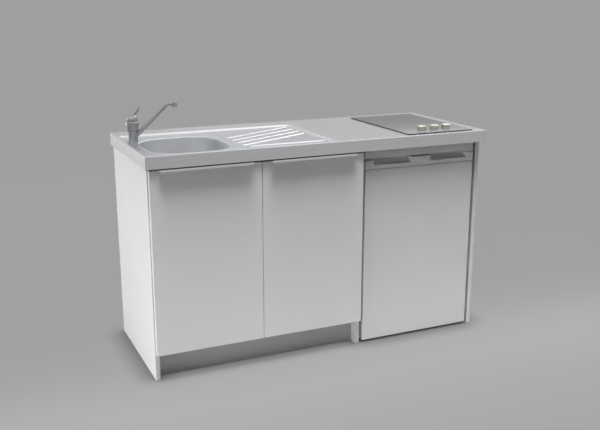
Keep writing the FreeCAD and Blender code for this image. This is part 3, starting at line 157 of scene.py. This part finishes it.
class Surface:
    """A principled material built from object coordinates, so that it rides with its piece."""

    def __init__(self, name, colour, **sockets):
        self.material = bpy.data.materials.new(name)
        self.material.use_nodes = True
        self.tree = self.material.node_tree
        self.shader = self.tree.nodes["Principled BSDF"]
        self.shader.inputs["Base Color"].default_value = shade(colour)
        for socket, value in sockets.items():
            self.shader.inputs[socket.replace("_", " ")].default_value = value
        self.colour = colour
        self.coordinates = self.tree.nodes.new("ShaderNodeTexCoord")

    def node(self, kind, **sockets):
        """A new node with some of its inputs set."""
        made = self.tree.nodes.new(kind)
        for socket, value in sockets.items():
            made.inputs[socket.replace("_", " ")].default_value = value
        return made

    def link(self, source, target):
        """A link from one node's output to another's input."""
        self.tree.links.new(source, target)

    def mapped(self, stretch):
        """The piece's own coordinates, each times its stretch."""
        mapping = self.node("ShaderNodeMapping", Scale=stretch)
        self.link(self.coordinates.outputs["Object"], mapping.inputs["Vector"])
        return mapping.outputs["Vector"]

    def noise(self, scale, detail=3.0, stretch=EVEN):
        """A soft irregular pattern."""
        noise = self.node("ShaderNodeTexNoise", Scale=scale, Detail=detail)
        self.link(self.mapped(stretch), noise.inputs["Vector"])
        return noise.outputs["Fac"]

    def cells(self, scale, stretch=EVEN):
        """A pattern of cells, 0 in the middle of each."""
        cells = self.node("ShaderNodeTexVoronoi", Scale=scale)
        self.link(self.mapped(stretch), cells.inputs["Vector"])
        return cells.outputs["Distance"]

    def tint(self, pattern, low, high, low_at=NOISE_LOW, high_at=NOISE_HIGH):
        """The base colour drifts between two brightnesses of itself."""
        ramp = self.tree.nodes.new("ShaderNodeValToRGB")
        ramp.color_ramp.elements[0].position = low_at
        ramp.color_ramp.elements[0].color = shade(self.colour, low)
        ramp.color_ramp.elements[1].position = high_at
        ramp.color_ramp.elements[1].color = shade(self.colour, high)
        self.link(pattern, ramp.inputs["Fac"])
        self.link(ramp.outputs["Color"], self.shader.inputs["Base Color"])

    def other_side(self, level, colour):
        """A second colour on the faces whose own normal rises less than a level."""
        facing = self.node("ShaderNodeSeparateXYZ")
        self.link(self.coordinates.outputs["Normal"], facing.inputs["Vector"])
        under = self.node("ShaderNodeMath")
        under.operation = "LESS_THAN"
        under.inputs[1].default_value = level
        self.link(facing.outputs["Z"], under.inputs[0])
        mix = self.node("ShaderNodeMixRGB", Color2=shade(colour))
        base = self.shader.inputs["Base Color"]
        self.link(under.outputs["Value"], mix.inputs["Fac"])
        self.link(base.links[0].from_socket, mix.inputs["Color1"])
        self.link(mix.outputs["Color"], base)

    def gloss(self, pattern, low, high):
        """The roughness drifts between two values."""
        spread = map_range(self.tree, pattern, NOISE_LOW, NOISE_HIGH, low, high)
        self.link(spread.outputs["Result"], self.shader.inputs["Roughness"])

    def relief(self, pattern, depth, strength):
        """A fine unevenness, its depth in metres."""
        bump = self.node("ShaderNodeBump", Strength=strength, Distance=depth)
        self.link(pattern, bump.inputs["Height"])
        self.link(bump.outputs["Normal"], self.shader.inputs["Normal"])


def melamine(name, colour):
    """Board faced with a hard matt sheet."""
    surface = Surface(name, colour, IOR=1.5)
    surface.tint(surface.noise(scale=5.0, detail=4.0), low=0.985, high=1.012)
    surface.gloss(surface.noise(scale=38.0), low=0.40, high=0.50)
    surface.relief(surface.noise(scale=1400.0, detail=2.0), depth=0.00008, strength=0.5)
    return surface.material


def raw_board(name, colour, painted_underside_shade):
    """Chipboard with its chips showing at the edges, and its downward faces painted near-black as painted
    shade.
    """
    surface = Surface(name, colour, Roughness=0.85)
    chips = surface.cells(scale=260.0, stretch=(1.0, 1.6, 1.0))
    surface.tint(chips, low=1.15, high=0.72, low_at=0.1, high_at=0.8)
    # Painted shade: the downward faces are near-black
    surface.other_side(level=-0.5, colour=painted_underside_shade)
    surface.relief(chips, depth=0.0005, strength=0.6)
    return surface.material


def brushed(name, colour, stretch, roughness):
    """Metal with fine lines along the direction that is stretched least, or an even grain."""
    surface = Surface(name, colour, Metallic=1.0)
    lines = surface.noise(scale=1.0, detail=4.0, stretch=stretch)
    surface.tint(lines, low=0.95, high=1.04)
    patches = surface.noise(scale=1.0, detail=5.0, stretch=[value * PATCH_TO_LINE for value in stretch])
    surface.gloss(patches, *roughness)
    surface.relief(lines, depth=0.00006, strength=0.35)
    return surface.material


def polished(name, colour, roughness):
    """Plated or turned metal without lines."""
    surface = Surface(name, colour, Metallic=1.0)
    surface.tint(surface.noise(scale=700.0), low=0.985, high=1.01)
    surface.gloss(surface.noise(scale=900.0, detail=2.0), *roughness)
    return surface.material


def moulded(name, colour, roughness, grain=900.0):
    """Plastic, rubber, foam or heater insulation with its fine grain."""
    surface = Surface(name, colour)
    surface.tint(surface.noise(scale=22.0), low=0.98, high=1.015)
    surface.gloss(surface.noise(scale=120.0), *roughness)
    surface.relief(surface.noise(scale=grain, detail=2.0), depth=0.0001, strength=0.35)
    return surface.material


def painted(name, colour, roughness):
    """Stoved paint with its slight orange peel."""
    surface = Surface(name, colour, IOR=1.5)
    surface.tint(surface.noise(scale=4.0), low=0.988, high=1.01)
    surface.gloss(surface.noise(scale=30.0), *roughness)
    surface.relief(surface.noise(scale=420.0, detail=1.0), depth=0.00012, strength=0.4)
    return surface.material


def ceramic_glass(name, colour, edge, roughness):
    """Opaque printed glass, with the fine dots of its print and darker ground edges."""
    surface = Surface(name, colour, IOR=1.5)
    surface.tint(surface.cells(scale=620.0), low=0.93, high=1.03, low_at=0.1, high_at=0.5)
    surface.other_side(level=0.5, colour=edge)
    surface.gloss(surface.noise(scale=9.0, detail=5.0), *roughness)
    return surface.material


def clear(name, colour, roughness):
    """Clear plastic or glass."""
    surface = Surface(name, colour, Transmission_Weight=0.9, IOR=1.45)
    surface.tint(surface.noise(scale=18.0), low=0.97, high=1.0)
    surface.gloss(surface.noise(scale=80.0), *roughness)
    return surface.material


# A finish for each material slot of the record, and for a piece that has its own
finishes = {
    "white_board": melamine("white_board", WHITE_BOARD),
    "plinth_board": melamine("plinth_board", PLINTH_BOARD),
    "core_board": raw_board("core_board", RAW_BOARD, PAINTED_UNDERSIDE_SHADE),
    "steel": brushed("steel", STEEL, stretch=(14.0, 900.0, 900.0), roughness=(0.32, 0.40)),
    "plated_steel": brushed("plated_steel", PLATED, stretch=(300.0, 300.0, 300.0), roughness=(0.30, 0.42)),
    "handle_metal": brushed("handle_metal", HANDLE, stretch=(20.0, 1200.0, 1200.0), roughness=(0.56, 0.64)),
    "chrome": polished("chrome", CHROME, roughness=(0.36, 0.44)),
    "brass": polished("brass", BRASS, roughness=(0.25, 0.4)),
    "grey_plastic": moulded("grey_plastic", DARK_PLASTIC, roughness=(0.45, 0.6)),
    "hob_glass": ceramic_glass("hob_glass", HOB, HOB_EDGE, roughness=(0.14, 0.20)),
    "heater": moulded("heater", HEATER, roughness=(0.8, 0.95), grain=300.0),
    "cream_plastic": moulded("cream_plastic", CREAM, roughness=(0.30, 0.42)),
    "white_metal": painted("white_metal", WHITE_PAINT, roughness=(0.34, 0.44)),
    "white_plastic": moulded("white_plastic", WHITE_PLASTIC, roughness=(0.35, 0.5)),
    "cap_plastic": moulded("cap_plastic", CAP_PLASTIC, roughness=(0.40, 0.55)),
    "foam": moulded("foam", FOAM, roughness=(0.85, 0.95), grain=500.0),
    "clear_plastic": clear("clear_plastic", CLEAR, roughness=(0.05, 0.14)),
    "shelf_glass": clear("shelf_glass", GLASS, roughness=(0.01, 0.03)),
    "gasket_rubber": moulded("gasket_rubber", GASKET, roughness=(0.55, 0.7)),
    "black_metal": painted("black_metal", BLACK, roughness=(0.22, 0.32)),
    "black_plastic": moulded("black_plastic", BLACK, roughness=(0.45, 0.6)),
}
own_finish = {
    "sink_bowl": brushed("bowl_steel", BOWL_STEEL, stretch=(420.0, 420.0, 60.0), roughness=(0.45, 0.53)),
}


def dress_pieces():
    """Every piece of the frame gets its finish."""
    for subpart in frame["record"]["subparts"]:
        name = subpart["node"]
        piece = frame["nodes"][name]
        piece.data.materials.clear()
        piece.data.materials.append(own_finish.get(name, finishes[subpart["material_slot"]]))


def area_light(lamp):
    """A lamp that the camera doesn't see, for the rays that it is meant for."""
    light = bpy.data.lights.new(lamp.name, "AREA")
    light.shape = "RECTANGLE"
    light.size = lamp.width
    light.size_y = lamp.height
    light.energy = lamp.power
    light.spread = math.radians(lamp.spread)
    holder = bpy.data.objects.new(lamp.name, light)
    bpy.context.scene.collection.objects.link(holder)
    aim = Vector(lamp.target) - Vector(lamp.place)
    holder.location = lamp.place
    holder.rotation_euler = aim.to_track_quat("-Z", "Y").to_euler()
    holder.visible_camera = False
    holder.visible_diffuse = lamp.rays != GLOSSY
    holder.visible_glossy = lamp.rays != MATT


def seen_directly(tree):
    """1 for what the camera sees, straight or by way of metal or glass, and 0 for light on its way."""
    path = tree.nodes.new("ShaderNodeLightPath")
    seen = path.outputs["Is Camera Ray"]
    for ray in ("Is Glossy Ray", "Is Transmission Ray"):
        either = tree.nodes.new("ShaderNodeMath")
        either.operation = "MAXIMUM"
        tree.links.new(seen, either.inputs[0])
        tree.links.new(path.outputs[ray], either.inputs[1])
        seen = either.outputs["Value"]
    return seen


def build_floor():
    """A floor that passes light on as usual; where it is seen, an even tone with a share of the object's
    real shadow and a painted shadow close to the object.
    """
    surface = Surface("studio_floor", FLOOR, Roughness=0.7)
    surface.tint(surface.noise(scale=1.3), low=0.99, high=1.01)
    # Painted shadow: ambient occlusion darkens the glow's tone close to the object
    shadow = surface.node("ShaderNodeAmbientOcclusion",
                          Color=shade(FLOOR_SEEN), Distance=FLOOR_PAINTED_SHADOW_REACH)
    glow = surface.node("ShaderNodeEmission")
    surface.link(shadow.outputs["Color"], glow.inputs["Color"])
    share = surface.node("ShaderNodeMath")
    share.operation = "MULTIPLY"
    share.inputs[1].default_value = FLOOR_GLOW
    surface.link(seen_directly(surface.tree), share.inputs[0])
    mix = surface.node("ShaderNodeMixShader")
    surface.link(share.outputs["Value"], mix.inputs["Fac"])
    surface.link(surface.shader.outputs["BSDF"], mix.inputs[1])
    surface.link(glow.outputs["Emission"], mix.inputs[2])
    surface.link(mix.outputs["Shader"], surface.tree.nodes["Material Output"].inputs["Surface"])
    bpy.ops.mesh.primitive_plane_add(size=FLOOR_WIDTH)
    floor = bpy.context.object
    floor.name = "studio_floor"
    floor.data.materials.append(surface.material)


def build_world():
    """Low even light, and where it is seen a pale backdrop that rises out of the floor's tone."""
    world = bpy.data.worlds.new("studio")
    world.use_nodes = True
    tree = world.node_tree
    light = tree.nodes["Background"]
    light.inputs["Color"].default_value = shade(SKY)
    light.inputs["Strength"].default_value = SKY_LIGHT
    backdrop = tree.nodes.new("ShaderNodeBackground")
    backdrop.inputs["Color"].default_value = shade(SKY)
    coordinates = tree.nodes.new("ShaderNodeTexCoord")
    towards = tree.nodes.new("ShaderNodeVectorMath")
    towards.operation = "DOT_PRODUCT"
    towards.inputs[1].default_value = Vector(BACKDROP_BRIGHT_SIDE).normalized()
    tree.links.new(coordinates.outputs["Generated"], towards.inputs[0])
    level = map_range(tree, towards.outputs["Value"], low_at=-1.0, high_at=1.0,
                      low=BACKDROP_DIM, high=BACKDROP_BRIGHT)
    direction = tree.nodes.new("ShaderNodeSeparateXYZ")
    tree.links.new(coordinates.outputs["Generated"], direction.inputs["Vector"])
    rise = map_range(tree, direction.outputs["Z"], low_at=0.0, high_at=BACKDROP_CLEAR_OF_FLOOR,
                     low=FLOOR_SEEN[0] * FLOOR_GLOW, high=BACKDROP_BRIGHT)
    # The level on each side takes the place of the one upper tone
    tree.links.new(level.outputs["Result"], rise.inputs["To Max"])
    tree.links.new(rise.outputs["Result"], backdrop.inputs["Strength"])
    mix = tree.nodes.new("ShaderNodeMixShader")
    tree.links.new(seen_directly(tree), mix.inputs["Fac"])
    tree.links.new(light.outputs["Background"], mix.inputs[1])
    tree.links.new(backdrop.outputs["Background"], mix.inputs[2])
    tree.links.new(mix.outputs["Shader"], tree.nodes["World Output"].inputs["Surface"])
    bpy.context.scene.world = world


def build_studio():
    """Floor, surroundings and lamps."""
    build_floor()
    build_world()
    for lamp in LAMPS:
        area_light(lamp)


def build_camera():
    """The camera at the photograph's viewing angle."""
    camera = bpy.data.cameras.new("photo_camera")
    camera.lens = CAMERA_LENS
    camera.sensor_width = SENSOR_WIDTH
    camera.sensor_fit = "HORIZONTAL"
    holder = bpy.data.objects.new("photo_camera", camera)
    bpy.context.scene.collection.objects.link(holder)
    holder.location = CAMERA_PLACE
    holder.rotation_euler = [math.radians(angle) for angle in CAMERA_TURN]
    bpy.context.scene.camera = holder


dress_pieces()
build_studio()
build_camera()
bpy.context.scene.view_settings.view_transform = "Standard"
